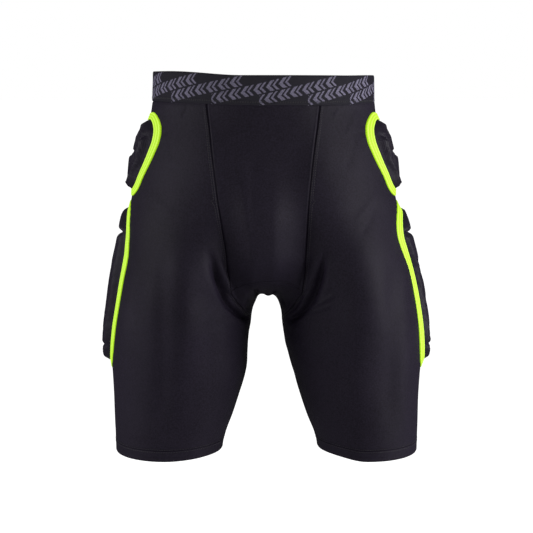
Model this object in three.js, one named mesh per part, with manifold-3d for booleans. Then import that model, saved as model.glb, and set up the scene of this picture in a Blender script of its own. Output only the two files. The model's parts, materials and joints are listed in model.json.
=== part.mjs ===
// Padded impact shorts: a close-fitting stretch short with foam pads under bulging covers on the hips,
// the thighs and the tailbone. Each pad is framed by a flat tape and backed by a thin inner layer.
// Millimetres, +Z up. The origin is the centre of the waist opening, in the plane of its rim, and the
// front of the shorts faces -Y. The left half is modelled at +X and mirrored for the right half.
import * as THREE from "three";
import { mergeVertices } from "three/addons/utils/BufferGeometryUtils.js";
import Module from "manifold-3d";

const wasm = await Module();
wasm.setup();

// ---------------------------------------------------------------- driving sizes

const FABRIC = 1.6; // stretch cloth with its seam allowances
const SEAM_GAP = 0.6; // between neighbouring pieces
const EDGE_GAP = THREE.MathUtils.degToRad(0.25); // the same gap, as an angle round the leg

const WAISTBAND_BOTTOM = -38;
const PANEL_TOP = -38.5;
const GUSSET_SEAM = -280; // where the arched gusset seam meets the long seams
const GUSSET_TIP = -330; // where the gusset ends in the inseam
const PANEL_BOTTOM = -479.5;
const HEM_TOP = -480;
const HEM_BOTTOM = -503;

const TAPE_WIDTH = 10.5;
const COVER = 1.3; // thickness of the stretch cover over a pad
const COVER_RIM = 1.2; // how far the cover's rim stands off the body surface
const BULGE = 10.5; // how far a pad stands above its rim
const SHOULDER = 16; // how far in from the tape a pad reaches its full height

const FULL_TURN = 2 * Math.PI;

const BLACK = { color: 0x1c1b20, roughness: 0.78, metalness: 0 };
const DARK_GREY = { color: 0x2b2a31, roughness: 0.85, metalness: 0 };
const LIME = { color: 0xc4f024, roughness: 0.6, metalness: 0 };
const FOAM = { color: 0x55585f, roughness: 0.9, metalness: 0 };
const MESH_GREY = { color: 0x3c3c44, roughness: 0.9, metalness: 0 };
const SILICONE = { color: 0x9aa0a6, roughness: 0.4, metalness: 0 };
const LABEL_WHITE = { color: 0xe6e6e2, roughness: 0.8, metalness: 0 };

// ---------------------------------------------------------------- body surface

// A smooth function of height through [height, value] points listed from the top down, with no overshoot.
function curve(points) {
  const heights = points.map((p) => p[0]);
  const values = points.map((p) => p[1]);
  const slopes = points.slice(1).map((p, i) => (p[1] - values[i]) / (p[0] - heights[i]));
  const tangents = points.map((_, i) => {
    if (i === 0) return slopes[0];
    if (i === slopes.length) return slopes[i - 1];
    const product = slopes[i - 1] * slopes[i];
    return product <= 0 ? 0 : (2 * product) / (slopes[i - 1] + slopes[i]);
  });
  return (height) => {
    const z = Math.min(Math.max(height, heights.at(-1)), heights[0]);
    let i = 0;
    while (i < slopes.length - 1 && z < heights[i + 1]) i++;
    const span = heights[i + 1] - heights[i];
    const t = (z - heights[i]) / span;
    return (
      values[i] * (1 + 2 * t) * (1 - t) ** 2 +
      tangents[i] * span * t * (1 - t) ** 2 +
      values[i + 1] * t * t * (3 - 2 * t) -
      tangents[i + 1] * span * t * t * (1 - t)
    );
  };
}

// Each horizontal section of the left half is an ellipse about (centreX, 0), with its own reach each way.
const centreX = curve([
  [0, 0], [-38, 0], [-100, 28], [-163, 60], [-230, 90], [-294, 110], [-360, 117], [-430, 124], [-503, 133],
]);
const outerX = curve([
  [0, 143], [-38, 144], [-100, 158], [-163, 173], [-230, 186], [-294, 198], [-360, 206], [-430, 203.5],
  [-503, 202],
]);
const innerX = curve([
  [0, 0], [-163, 0], [-230, 4], [-294, 17.5], [-330, 21.5], [-385, 29.5], [-411, 36], [-434, 43],
  [-450, 48], [-483, 60], [-503, 64],
]);
const frontY = curve([
  [0, 104], [-38, 105], [-100, 107], [-163, 106], [-230, 103], [-294, 97], [-360, 90], [-430, 80], [-503, 70],
]);
const backY = curve([
  [0, 104], [-38, 106], [-100, 122], [-163, 136], [-230, 136], [-294, 114], [-360, 95], [-430, 81],
  [-503, 70],
]);

// How far the long seams lie from the middle, and below them the angle of the gusset's edge.
const seamX = curve([[-38, 70.5], [-95, 63.6], [-157, 56.9], [-208, 51.8], [-248, 48.4], [-280, 45.8]]);
const gussetAngle = curve([[-280, 48.5], [-310, 24], [-330, 0], [-503, 0]]);

// The centre line of the middle panels, as depth and height against the height of the seam beside it.
const frontMidY = curve([[-38, -105], [-163, -106], [-230, -99], [-280, -80], [-305, -48], [-330, 5]]);
const frontMidZ = curve([[-38, -38], [-163, -163], [-230, -220], [-280, -256], [-305, -282], [-330, -294]]);
const backMidY = curve([
  [-38, 106], [-100, 118], [-163, 127], [-230, 118], [-280, 88], [-305, 56], [-330, 5],
]);
const backMidZ = curve([[-38, -38], [-163, -163], [-230, -210], [-280, -250], [-305, -279], [-330, -294]]);

// A point of the left half's surface, "out" millimetres outside it.
function skin(z, angle, out = 0) {
  const across = Math.cos(angle);
  const forward = Math.sin(angle);
  const width = across < 0 ? outerX(z) - centreX(z) : centreX(z) - innerX(z);
  const depth = forward > 0 ? frontY(z) : backY(z);
  return new THREE.Vector3(centreX(z) - (width + out) * across, -(depth + out) * forward, z);
}

// Angle of the front seam round the half: 0 is the inner thigh, 90 degrees the front, 180 the outside.
function seamAngle(z) {
  if (z <= GUSSET_SEAM) return THREE.MathUtils.degToRad(gussetAngle(z));
  const inwards = centreX(z) - seamX(z);
  return Math.acos(inwards / (inwards < 0 ? outerX(z) - centreX(z) : centreX(z) - innerX(z)));
}

// The edge of a leg panel: the front seam, or the back seam, which mirrors its angle.
function seamPoint(z, back, out) {
  return skin(z, back ? -seamAngle(z) : seamAngle(z), out);
}

// How squarely a middle panel turns into the legs: gently on the body, more squarely between the thighs.
function stripRound(z) {
  return 2.2 + 1.8 * THREE.MathUtils.smoothstep(-z, 270, -GUSSET_TIP);
}

// A point of a middle panel, from one seam (across = -1) to the other (across = 1).
function middle(z, back, across, out) {
  const midY = back ? backMidY : frontMidY;
  const midZ = back ? backMidZ : frontMidZ;
  const along = new THREE.Vector2(midY(z - 1) - midY(z + 1), midZ(z - 1) - midZ(z + 1)).normalize();
  const outward = back ? new THREE.Vector2(-along.y, along.x) : new THREE.Vector2(along.y, -along.x);
  if (z <= GUSSET_TIP) outward.set(0, -1);
  const seam = seamPoint(z, back, out);
  const share = Math.abs(across) ** stripRound(z);
  return new THREE.Vector3(
    seam.x * across,
    THREE.MathUtils.lerp(midY(z) + outward.x * out, seam.y, share),
    THREE.MathUtils.lerp(midZ(z) + outward.y * out, seam.z, share),
  );
}

// ---------------------------------------------------------------- solids from point grids

// An even run of steps + 1 values, shaped by a function of 0..1.
const run = (steps, value) => Array.from({ length: steps + 1 }, (_, i) => value(i / steps));

function geometryOf(positions, triangles) {
  const rough = new THREE.BufferGeometry()
    .setAttribute("position", new THREE.Float32BufferAttribute(positions, 3))
    .setIndex(triangles);
  const merged = mergeVertices(rough, 1e-4);
  const kept = [];
  let volume = 0;
  const [a, b, c] = [new THREE.Vector3(), new THREE.Vector3(), new THREE.Vector3()];
  for (let i = 0; i < merged.index.count; i += 3) {
    const [p, q, r] = [0, 1, 2].map((k) => merged.index.getX(i + k));
    if (p === q || q === r || r === p) continue;
    kept.push(p, q, r);
    [a, b, c].forEach((v, k) => v.fromBufferAttribute(merged.attributes.position, [p, q, r][k]));
    volume += a.dot(b.cross(c));
  }
  merged.setIndex(volume < 0 ? kept.reverse() : kept);
  return merged;
}

// The closed solid between two matching grids of points; a looped grid's last column meets its first.
function slab(outer, inner, looped = false) {
  const rows = outer.length;
  const columns = outer[0].length;
  const positions = [...outer, ...inner].flat().flatMap((v) => v.toArray());
  const o = (r, c) => r * columns + (c % columns);
  const n = (r, c) => rows * columns + o(r, c);
  const triangles = [];
  const quad = (a, b, c, d) => triangles.push(a, b, c, a, c, d);
  const cells = looped ? columns : columns - 1;
  for (let c = 0; c < cells; c++) {
    for (let r = 0; r < rows - 1; r++) {
      quad(o(r, c), o(r, c + 1), o(r + 1, c + 1), o(r + 1, c));
      quad(n(r, c), n(r + 1, c), n(r + 1, c + 1), n(r, c + 1));
    }
    quad(o(0, c + 1), o(0, c), n(0, c), n(0, c + 1));
    quad(o(rows - 1, c), o(rows - 1, c + 1), n(rows - 1, c + 1), n(rows - 1, c));
  }
  for (let r = 0; r < rows - 1 && !looped; r++) {
    quad(o(r, 0), o(r + 1, 0), n(r + 1, 0), n(r, 0));
    quad(o(r + 1, columns - 1), o(r, columns - 1), n(r, columns - 1), n(r + 1, columns - 1));
  }
  return geometryOf(positions, triangles);
}

function toManifold(geometry) {
  const merged = geometry.clone();
  merged.deleteAttribute("normal");
  merged.deleteAttribute("uv");
  const joined = mergeVertices(merged, 1e-4);
  return new wasm.Manifold(
    new wasm.Mesh({
      numProp: 3,
      vertProperties: joined.attributes.position.array,
      triVerts: new Uint32Array(joined.index.array),
    }),
  );
}

function cut(geometry, cutters) {
  const rest = cutters.reduce((solid, cutter) => solid.subtract(toManifold(cutter)), toManifold(geometry));
  const mesh = rest.getMesh();
  return new THREE.BufferGeometry()
    .setAttribute("position", new THREE.BufferAttribute(mesh.vertProperties, 3))
    .setIndex(new THREE.BufferAttribute(mesh.triVerts, 1));
}

function mirrored(geometry) {
  const copy = geometry.clone().scale(-1, 1, 1);
  copy.setIndex(Array.from(copy.index.array).reverse());
  return copy;
}

// ---------------------------------------------------------------- flat outlines of the pads

// A pad lies on a "wall" of the body: a plane (u, height) and the surface's third coordinate over it.
const sideWall = {
  point(u, z, out) {
    const reach = outerX(z) - centreX(z);
    const depth = u < 0 ? frontY(z) : backY(z);
    const rise = Math.sqrt(1 - (u / depth) ** 2);
    const slope = ((u / depth) * reach) / (depth * rise);
    return new THREE.Vector3(centreX(z) + reach * rise + out * Math.hypot(1, slope), u, z);
  },
  prism: (shape) =>
    new THREE.ExtrudeGeometry(shape, { depth: 170, bevelEnabled: false }).applyMatrix4(
      new THREE.Matrix4()
        .makeBasis(new THREE.Vector3(0, 1, 0), new THREE.Vector3(0, 0, 1), new THREE.Vector3(1, 0, 0))
        .setPosition(92, 0, 0),
    ),
};

const backWall = {
  point(u, z, out) {
    const seam = seamPoint(z, true, 0);
    const share = Math.abs(u / seam.x) ** stripRound(z);
    return new THREE.Vector3(u, THREE.MathUtils.lerp(backMidY(z), seam.y, share) + out, z);
  },
  prism: (shape) =>
    new THREE.ExtrudeGeometry(shape, { depth: 100, bevelEnabled: false }).applyMatrix4(
      new THREE.Matrix4()
        .makeBasis(new THREE.Vector3(1, 0, 0), new THREE.Vector3(0, 0, 1), new THREE.Vector3(0, -1, 0))
        .setPosition(0, 170, 0),
    ),
};

// A closed, smooth outline through [u, height] points.
function outline(points, count) {
  const corners = points.map(([u, z]) => new THREE.Vector3(u, z, 0));
  const path = new THREE.CatmullRomCurve3(corners, true, "centripetal");
  return path.getSpacedPoints(count).slice(0, count).map((p) => new THREE.Vector2(p.x, p.y));
}

// The outline moved outwards, or inwards where the distance is negative.
function grow(loop, distance) {
  const turn = Math.sign(THREE.ShapeUtils.area(loop));
  return loop.map((p, i) => {
    const before = loop[(i + loop.length - 1) % loop.length];
    const after = loop[(i + 1) % loop.length];
    const along = after.clone().sub(before).normalize();
    return new THREE.Vector2(p.x + along.y * distance * turn, p.y - along.x * distance * turn);
  });
}

// How deep a point lies inside the outline.
function depthInside(loop, u, z) {
  return loop.reduce((least, a, i) => {
    const b = loop[(i + 1) % loop.length];
    const edge = b.clone().sub(a);
    const t = THREE.MathUtils.clamp(((u - a.x) * edge.x + (z - a.y) * edge.y) / edge.lengthSq(), 0, 1);
    return Math.min(least, Math.hypot(u - a.x - t * edge.x, z - a.y - t * edge.y));
  }, Infinity);
}

// The part of the outline between two heights.
function between(loop, top, bottom) {
  const keepBelow = (points, level, sign) =>
    points.flatMap((p, i) => {
      const q = points[(i + 1) % points.length];
      const [from, to] = [sign * (level - p.y), sign * (level - q.y)];
      const kept = from >= 0 ? [p] : [];
      if (from * to < 0) kept.push(p.clone().lerp(q, from / (from - to)));
      return kept;
    });
  return keepBelow(keepBelow(loop, top, 1), bottom, -1);
}

// The outline with each long edge divided, so that it can follow a curved wall.
const LONGEST_EDGE = 14;
function divided(loop) {
  return loop.flatMap((p, i) => {
    const q = loop[(i + 1) % loop.length];
    const parts = Math.ceil(p.distanceTo(q) / LONGEST_EDGE);
    return run(parts, (t) => p.clone().lerp(q, t)).slice(0, -1);
  });
}

// Rings from an outline to its middle: some at a set distance in from it, then some by scale.
function rings(loop, insets, scales) {
  const middlePoint = loop.reduce((sum, p) => sum.add(p), new THREE.Vector2()).divideScalar(loop.length);
  const scaled = (scale) => loop.map((p) => middlePoint.clone().lerp(p, scale));
  return [...insets.map((d) => grow(loop, -d)), ...scales.map(scaled), scaled(0)];
}

// A solid on a wall, between two heights off its surface, over the rings of an outline.
function onWall(wall, loops, bottom, top) {
  const grid = (out) => loops.map((loop) => loop.map((p) => wall.point(p.x, p.y, out(p.x, p.y))));
  return slab(grid(top), grid(bottom), true);
}

// ---------------------------------------------------------------- one pad with its tape, cover and foam

const TAPE_OUT = 0.9;
const TAPE_IN = -1.5;
const BACKING_TOP = -1.5;
const BACKING = 1;
const FOAM_BOTTOM = -0.3;
const FOAM_CLEARANCE = 1.9;
const FOAM_INSET = 6;

function makePad({ wall, path, points, foams }) {
  const inside = grow(path, -TAPE_WIDTH / 2 - SEAM_GAP / 2);
  const bulge = (u, z) => {
    const share = Math.min(depthInside(inside, u, z) / SHOULDER, 1);
    return COVER_RIM + BULGE * Math.sqrt(1 - (1 - share) ** 2);
  };
  const flat = (height) => () => height;
  const tapeEdges = [grow(path, TAPE_WIDTH / 2), grow(path, -TAPE_WIDTH / 2)];
  const coverRings = rings(inside, [0, 4, 10], points);
  const pieces = {
    tape: onWall(wall, tapeEdges, flat(TAPE_IN), flat(TAPE_OUT)),
    cover: onWall(wall, coverRings, (u, z) => bulge(u, z) - COVER, bulge),
    backing: onWall(wall, rings(inside, [0], points), flat(BACKING_TOP - BACKING), flat(BACKING_TOP)),
  };
  const pocket = grow(inside, -FOAM_INSET);
  for (const [name, top, bottom] of foams) {
    const block = rings(divided(between(pocket, top, bottom)), [0], [0.66, 0.33]);
    pieces[name] = onWall(wall, block, flat(FOAM_BOTTOM), (u, z) => bulge(u, z) - COVER - FOAM_CLEARANCE);
  }
  return { pieces, opening: wall.prism(new THREE.Shape(grow(path, TAPE_WIDTH / 2 + SEAM_GAP))) };
}

const hipPath = outline(
  [
    [-34, -57], [-50, -69], [-55.5, -86], [-53.5, -102], [-49, -117], [-42, -132], [-33.5, -145],
    [-22, -153], [-8, -155.8], [10, -154.5], [30, -149], [52, -135], [67, -115], [74, -92], [69, -75],
    [50, -64], [20, -60], [-12, -57.5],
  ],
  32,
);
const thighPath = outline(
  [
    [-14, -177], [-36, -190], [-46, -209], [-42, -230], [-32, -256], [-26, -285], [-24, -320], [-24, -352],
    [-18, -375], [-4, -386], [12, -388.5], [28, -386], [43, -375], [49, -352], [50, -320], [53, -285],
    [60, -256], [68, -230], [68, -209], [57, -190], [36, -177], [12, -172],
  ],
  36,
);
const tailbonePath = outline(
  [
    [0, -57], [34, -60], [47, -76], [45, -100], [31, -130], [0, -152], [-31, -130], [-45, -100], [-47, -76],
    [-34, -60],
  ],
  24,
);

const hipPad = makePad({
  wall: sideWall,
  path: hipPath,
  points: [0.62, 0.32],
  foams: [["foam_upper", -58, -101], ["foam_lower", -105, -160]],
});
const thighPad = makePad({
  wall: sideWall,
  path: thighPath,
  points: [0.62, 0.32],
  foams: [["foam_upper", -170, -204], ["foam_middle", -208, -354], ["foam_lower", -357, -390]],
});
const tailbonePad = makePad({
  wall: backWall,
  path: tailbonePath,
  points: [0.5],
  foams: [["foam_upper", -57, -98], ["foam_lower", -102, -150]],
});

// ---------------------------------------------------------------- cloth panels

const upperLevels = run(8, (t) => THREE.MathUtils.lerp(PANEL_TOP, GUSSET_SEAM, t));
const gussetLevels = run(5, (t) =>
  THREE.MathUtils.lerp(GUSSET_SEAM, GUSSET_TIP, Math.sin((t * Math.PI) / 2)),
);
const lowerLevels = run(5, (t) => THREE.MathUtils.lerp(GUSSET_TIP, PANEL_BOTTOM, t));
const legLevels = [...upperLevels, ...gussetLevels.slice(1), ...lowerLevels.slice(1)];

const LEG_COLUMNS = 8;
function legPanel(back) {
  const grid = (out) =>
    legLevels.map((z) => {
      const seam = seamAngle(z) + EDGE_GAP;
      const angles = run(LEG_COLUMNS, (t) => THREE.MathUtils.lerp(seam, Math.PI - EDGE_GAP, t));
      return angles.map((angle) => skin(z, back ? -angle : angle, out));
    });
  return slab(grid(0), grid(-FABRIC));
}

// A middle panel: rows of { z, back } between the two long seams.
const STRIP_COLUMNS = 8;
function middlePanel(rows, reach = 1, top = 0, bottom = -FABRIC) {
  const grid = (out) =>
    rows.map(({ z, back }) => {
      const edge = reach * (1 - SEAM_GAP / seamPoint(z, back, 0).x);
      return run(STRIP_COLUMNS, (t) => middle(z, back, THREE.MathUtils.lerp(-edge, edge, t), out));
    });
  return slab(grid(top), grid(bottom));
}
const frontRow = (z) => ({ z, back: false });
const backRow = (z) => ({ z, back: true });

const gussetHalf = gussetLevels.map((z) => (z === GUSSET_SEAM ? z - SEAM_GAP : z));
const gussetRows = [...gussetHalf.map(frontRow), ...gussetHalf.slice(0, -1).reverse().map(backRow)];

const LINING_REACH = 0.8;
const LINING = 0.9;
const liningTop = -FABRIC - 1.4;
const liningRows = gussetRows.slice(1, -1);

// ---------------------------------------------------------------- waistband and hems

// A flat-edged band round a section that is given by a function of height, angle and offset.
function band(section, levels, top, bottom, columns) {
  const angles = run(columns, (t) => t * FULL_TURN).slice(0, columns);
  const grid = (out) => levels.map((z) => angles.map((angle) => section(z, angle, out)));
  return slab(grid(top), grid(bottom), true);
}

function waist(z, angle, out) {
  const depth = Math.sin(angle) > 0 ? frontY(z) : backY(z);
  return new THREE.Vector3((outerX(z) + out) * Math.cos(angle), -(depth + out) * Math.sin(angle), z);
}

const waistband = band(waist, [0, WAISTBAND_BOTTOM], 0.4, -2, 48);
const hemBand = band(skin, [HEM_TOP, HEM_BOTTOM], 0.3, -2.1, 32);
const hemGripper = band(skin, [HEM_TOP - 5, HEM_BOTTOM + 5], -2.5, -3.4, 32);

const LABEL = { width: 28, height: 34, thickness: 0.6, top: -24, y: 100 };
const careLabel = new THREE.BoxGeometry(LABEL.width, LABEL.thickness, LABEL.height).translate(
  0,
  LABEL.y,
  LABEL.top - LABEL.height / 2,
);

// ---------------------------------------------------------------- scene graph

const shorts = new THREE.Group();

function add(name, geometry, look) {
  const mesh = new THREE.Mesh(geometry, new THREE.MeshStandardMaterial(look));
  mesh.name = name;
  shorts.add(mesh);
}

function addBothSides(name, geometry, look) {
  add("left_" + name, geometry, look);
  add("right_" + name, mirrored(geometry), look);
}

const PAD_LOOKS = { tape: LIME, cover: BLACK, backing: MESH_GREY };
function addPad(place, name, pad) {
  for (const [piece, geometry] of Object.entries(pad.pieces)) {
    const pieceName = piece === "cover" || piece === "backing" ? "pad_" + piece : piece;
    place(name + "_" + pieceName, geometry, PAD_LOOKS[piece] ?? FOAM);
  }
}

add("waistband", waistband, DARK_GREY);
add("care_label", careLabel, LABEL_WHITE);
add("front_centre_panel", middlePanel(upperLevels.map(frontRow)), BLACK);
add("rear_centre_panel", cut(middlePanel(upperLevels.map(backRow)), [tailbonePad.opening]), BLACK);
add("gusset", middlePanel(gussetRows), BLACK);
add("gusset_lining", middlePanel(liningRows, LINING_REACH, liningTop, liningTop - LINING), MESH_GREY);
addPad(add, "tailbone", tailbonePad);

const openings = [hipPad.opening, thighPad.opening];
addBothSides("front_leg_panel", cut(legPanel(false), openings), BLACK);
addBothSides("rear_leg_panel", cut(legPanel(true), openings), BLACK);
addPad(addBothSides, "hip", hipPad);
addPad(addBothSides, "thigh", thighPad);
addBothSides("hem_band", hemBand, BLACK);
addBothSides("hem_gripper", hemGripper, SILICONE);

export default shorts;
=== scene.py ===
"""Padded impact shorts: the looks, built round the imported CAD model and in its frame.

Shapes are worked out in millimetres, as in the CAD source, and become metres when a mesh is made. The left
half is modelled at +X; side = -1 mirrors it. A "pad" is a tape, a cover, a backing and some foam blocks.
"""
import json
import math

import bpy
import numpy as np
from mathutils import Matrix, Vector

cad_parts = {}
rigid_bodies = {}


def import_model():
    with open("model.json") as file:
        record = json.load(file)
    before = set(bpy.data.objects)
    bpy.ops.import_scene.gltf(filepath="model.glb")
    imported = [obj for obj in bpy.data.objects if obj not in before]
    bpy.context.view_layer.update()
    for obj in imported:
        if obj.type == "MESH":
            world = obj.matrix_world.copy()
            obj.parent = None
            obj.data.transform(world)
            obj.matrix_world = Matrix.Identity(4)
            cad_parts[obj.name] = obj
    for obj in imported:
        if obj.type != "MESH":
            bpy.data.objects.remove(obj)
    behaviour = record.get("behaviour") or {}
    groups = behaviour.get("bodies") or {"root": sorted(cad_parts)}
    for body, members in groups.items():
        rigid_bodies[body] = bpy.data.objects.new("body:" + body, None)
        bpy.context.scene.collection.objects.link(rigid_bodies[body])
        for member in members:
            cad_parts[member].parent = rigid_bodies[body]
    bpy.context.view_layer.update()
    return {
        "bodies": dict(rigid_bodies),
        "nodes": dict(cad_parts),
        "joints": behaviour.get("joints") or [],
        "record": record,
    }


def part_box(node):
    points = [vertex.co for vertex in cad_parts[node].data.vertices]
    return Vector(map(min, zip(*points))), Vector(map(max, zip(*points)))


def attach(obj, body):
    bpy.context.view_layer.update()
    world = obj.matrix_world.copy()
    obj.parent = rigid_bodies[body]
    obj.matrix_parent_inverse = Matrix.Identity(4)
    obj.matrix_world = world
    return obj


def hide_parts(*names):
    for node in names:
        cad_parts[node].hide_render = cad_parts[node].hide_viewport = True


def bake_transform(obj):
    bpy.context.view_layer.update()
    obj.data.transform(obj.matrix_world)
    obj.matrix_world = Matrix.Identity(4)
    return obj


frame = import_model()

MM = 0.001
SIDES = {"left": 1, "right": -1}

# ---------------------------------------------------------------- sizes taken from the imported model


def low(node):
    return np.array(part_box(node)[0]) / MM


def high(node):
    return np.array(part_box(node)[1]) / MM


WAISTBAND_BOTTOM = low("waistband")[2]
HEM_TOP = high("left_hem_band")[2]
HEM_BOTTOM = low("left_hem_band")[2]
GUSSET_SEAM = -280
GUSSET_TIP = -330
HEM_LINE = HEM_BOTTOM + 15  # the leg panel's lower edge, drawn over the hem band
HINGE = {j["name"]: np.array(j["pos_m"]) / MM for j in frame["joints"]}

CLOTH = 1.1  # thickness of the stretch knit
TAPE_WIDTH = 10.5
TAPE_DRAWN = 9.4  # the tape's width as it is drawn tight round the pads
COVER_RIM = 1.2

# ---------------------------------------------------------------- body surface, as in the CAD source


def smooth_step(t):
    t = np.clip(t, 0, 1)
    return t * t * (3 - 2 * t)


def window(z, top, above, bottom, below):
    """1 between two heights, fading out over a distance below the top and above the bottom."""
    return smooth_step((top - z) / above) * smooth_step((z - bottom) / below)


def hump(x, middle_x, width):
    return np.exp(-(((x - middle_x) / width) ** 2))


def spread(rows, columns):
    """The row values and the column values over a whole grid."""
    return np.meshgrid(rows, columns, indexing="ij")


def run_along(line):
    """The distance of each point of a line from its start."""
    return np.concatenate([[0], np.cumsum(np.linalg.norm(np.diff(line, axis=0), axis=1))])


def cell_centres(grid):
    return (grid[:-1, :-1] + grid[1:, :-1] + grid[:-1, 1:] + grid[1:, 1:]) / 4


def curve(points):
    """A smooth function of height through (height, value) points listed from the top down."""
    heights, values = np.array(points, float).T
    slopes = np.diff(values) / np.diff(heights)
    tangents = np.concatenate([slopes[:1], np.zeros(len(slopes) - 1), slopes[-1:]])
    for i in range(1, len(slopes)):
        product = slopes[i - 1] * slopes[i]
        if product > 0:
            tangents[i] = 2 * product / (slopes[i - 1] + slopes[i])

    def at(z):
        z = np.clip(z, heights[-1], heights[0])
        i = np.clip(np.searchsorted(-heights, -z, side="right") - 1, 0, len(slopes) - 1)
        span = heights[i + 1] - heights[i]
        t = (z - heights[i]) / span
        start = values[i] * (1 + 2 * t) + tangents[i] * span * t
        end = values[i + 1] * (3 - 2 * t) - tangents[i + 1] * span * (1 - t)
        return start * (1 - t) ** 2 + end * t * t

    return at


def softened(at, reach=14):
    """The same curve averaged over a short height, so that its curvature has no steps."""
    offsets = np.linspace(-reach, reach, 7)
    return lambda z: sum(at(np.asarray(z, float) + d) for d in offsets) / len(offsets)


centre_x = softened(curve([(0, 0), (-38, 0), (-100, 28), (-163, 60), (-230, 90), (-294, 110), (-360, 117),
                           (-430, 124), (-503, 133)]))
outer_x = softened(curve([(0, 143), (-38, 144), (-100, 158), (-163, 173), (-230, 186), (-294, 198),
                          (-360, 206), (-430, 203.5), (-503, 202)]))
inner_x = softened(curve([(0, 0), (-163, 0), (-230, 4), (-294, 17.5), (-330, 21.5), (-385, 29.5), (-411, 36),
                          (-434, 43), (-450, 48), (-483, 60), (-503, 64)]), 8)
front_y = softened(curve([(0, 104), (-38, 105), (-100, 107), (-163, 106), (-230, 103), (-294, 97), (-360, 90),
                          (-430, 80), (-503, 70)]))
back_y = softened(curve([(0, 104), (-38, 106), (-100, 122), (-163, 136), (-230, 136), (-294, 114), (-360, 95),
                         (-430, 81), (-503, 70)]))
seam_x = softened(curve([(-38, 70.5), (-95, 63.6), (-157, 56.9), (-208, 51.8), (-248, 48.4),
                         (-280, 45.8)]), 8)
gusset_degrees = curve([(-280, 48.5), (-310, 24), (-330, 0), (-503, 0)])
MID_LINE = {
    "front": (curve([(-38, -105), (-163, -106), (-230, -99), (-280, -80), (-305, -48), (-330, 5)]),
              curve([(-38, -38), (-163, -163), (-230, -220), (-280, -256), (-305, -282), (-330, -294)])),
    "back": (curve([(-38, 106), (-100, 118), (-163, 127), (-230, 118), (-280, 88), (-305, 56), (-330, 5)]),
             curve([(-38, -38), (-163, -163), (-230, -210), (-280, -250), (-305, -279), (-330, -294)])),
}


def skin(z, angle, out=0.0):
    """Points of the left half: angle 0 is the inner thigh, 90 degrees the front, 180 the outside."""
    across, forward = np.cos(angle), np.sin(angle)
    width = np.where(across < 0, outer_x(z) - centre_x(z), centre_x(z) - inner_x(z))
    depth = np.where(forward > 0, front_y(z), back_y(z))
    return np.stack([centre_x(z) - (width + out) * across, -(depth + out) * forward, z + 0 * angle], -1)


def seam_angle(z, back):
    """Angle of the long seam in front or behind, and below it of the gusset's edge."""
    inwards = centre_x(z) - seam_x(z)
    width = np.where(inwards < 0, outer_x(z) - centre_x(z), centre_x(z) - inner_x(z))
    long_seam = np.arccos(np.clip(inwards / np.maximum(width, 1), -1, 1))
    return np.where(z > GUSSET_SEAM, long_seam, np.radians(gusset_degrees(z))) * (-1 if back else 1)


def strip_round(z):
    """How squarely a middle panel turns into the legs: more squarely between the thighs."""
    return 2.2 + 1.8 * smooth_step((-270 - z) / (-270 - GUSSET_TIP))


def middle(z, back, across, out=0.0):
    """Points of a middle panel, from one long seam (across = -1) to the other (across = 1)."""
    mid_y, mid_z = MID_LINE["back" if back else "front"]
    run_y, run_z = mid_y(z - 1) - mid_y(z + 1), mid_z(z - 1) - mid_z(z + 1)
    length = np.hypot(run_y, run_z) + 1e-9
    turn = -1 if back else 1
    out_y, out_z = turn * run_z / length, -turn * run_y / length
    seam = skin(z, seam_angle(z, back), out)
    share = np.abs(across) ** strip_round(z)
    y = (mid_y(z) + out_y * out) * (1 - share) + seam[..., 1] * share
    up = (mid_z(z) + out_z * out) * (1 - share) + seam[..., 2] * share
    return np.stack([seam[..., 0] * across, y, up], -1)


def side_wall(u, z, out=0.0):
    """Points of the outside of the left half over (u, z), u being the distance behind the middle."""
    reach = outer_x(z) - centre_x(z)
    depth = np.where(u < 0, front_y(z), back_y(z))
    rise = np.sqrt(1 - (u / depth) ** 2)
    slope = u / depth * reach / (depth * rise)
    return np.stack([centre_x(z) + reach * rise + out * np.hypot(1, slope), u, z], -1)


def wall_reach(u, z):
    """How far out the side wall is at a distance u behind the middle."""
    depth = np.where(u < 0, front_y(z), back_y(z))
    return (outer_x(z) - centre_x(z)) * np.sqrt(1 - np.clip(u / depth, -0.97, 0.97) ** 2)


def back_wall(u, z, out=0.0):
    seam = skin(z, seam_angle(z, True))
    share = np.abs(u / seam[..., 0]) ** strip_round(z)
    y = MID_LINE["back"][0](z) * (1 - share) + seam[..., 1] * share
    return np.stack([u, y + out, z], -1)


# ---------------------------------------------------------------- flat outlines of the pads


def outline(points, count):
    """A closed, smooth outline through (u, height) points, with evenly spaced corners."""
    p = np.array(points, float)
    before, after, later = np.roll(p, 1, 0), np.roll(p, -1, 0), np.roll(p, -2, 0)
    chord = lambda a, b: np.sqrt(np.linalg.norm(b - a, axis=1))[:, None]
    first, second, third = chord(before, p), chord(p, after), chord(after, later)
    leave = (p - before) / first - (after - before) / (first + second) + (after - p) / second
    arrive = (after - p) / second - (later - p) / (second + third) + (later - after) / third
    t = np.linspace(0, 1, 24, endpoint=False)[None, :, None]
    hermite = (2 * t**3 - 3 * t**2 + 1, t**3 - 2 * t**2 + t, 3 * t**2 - 2 * t**3, t**3 - t**2)
    ends = (p[:, None], (leave * second)[:, None], after[:, None], (arrive * second)[:, None])
    dense = sum(h * e for h, e in zip(hermite, ends)).reshape(-1, 2)
    return respaced(dense, count)


def respaced(loop, count):
    closed = np.vstack([loop, loop[:1]])
    run = run_along(closed)
    at = np.linspace(0, run[-1], count, endpoint=False)
    return np.stack([np.interp(at, run, closed[:, 0]), np.interp(at, run, closed[:, 1])], -1)


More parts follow.
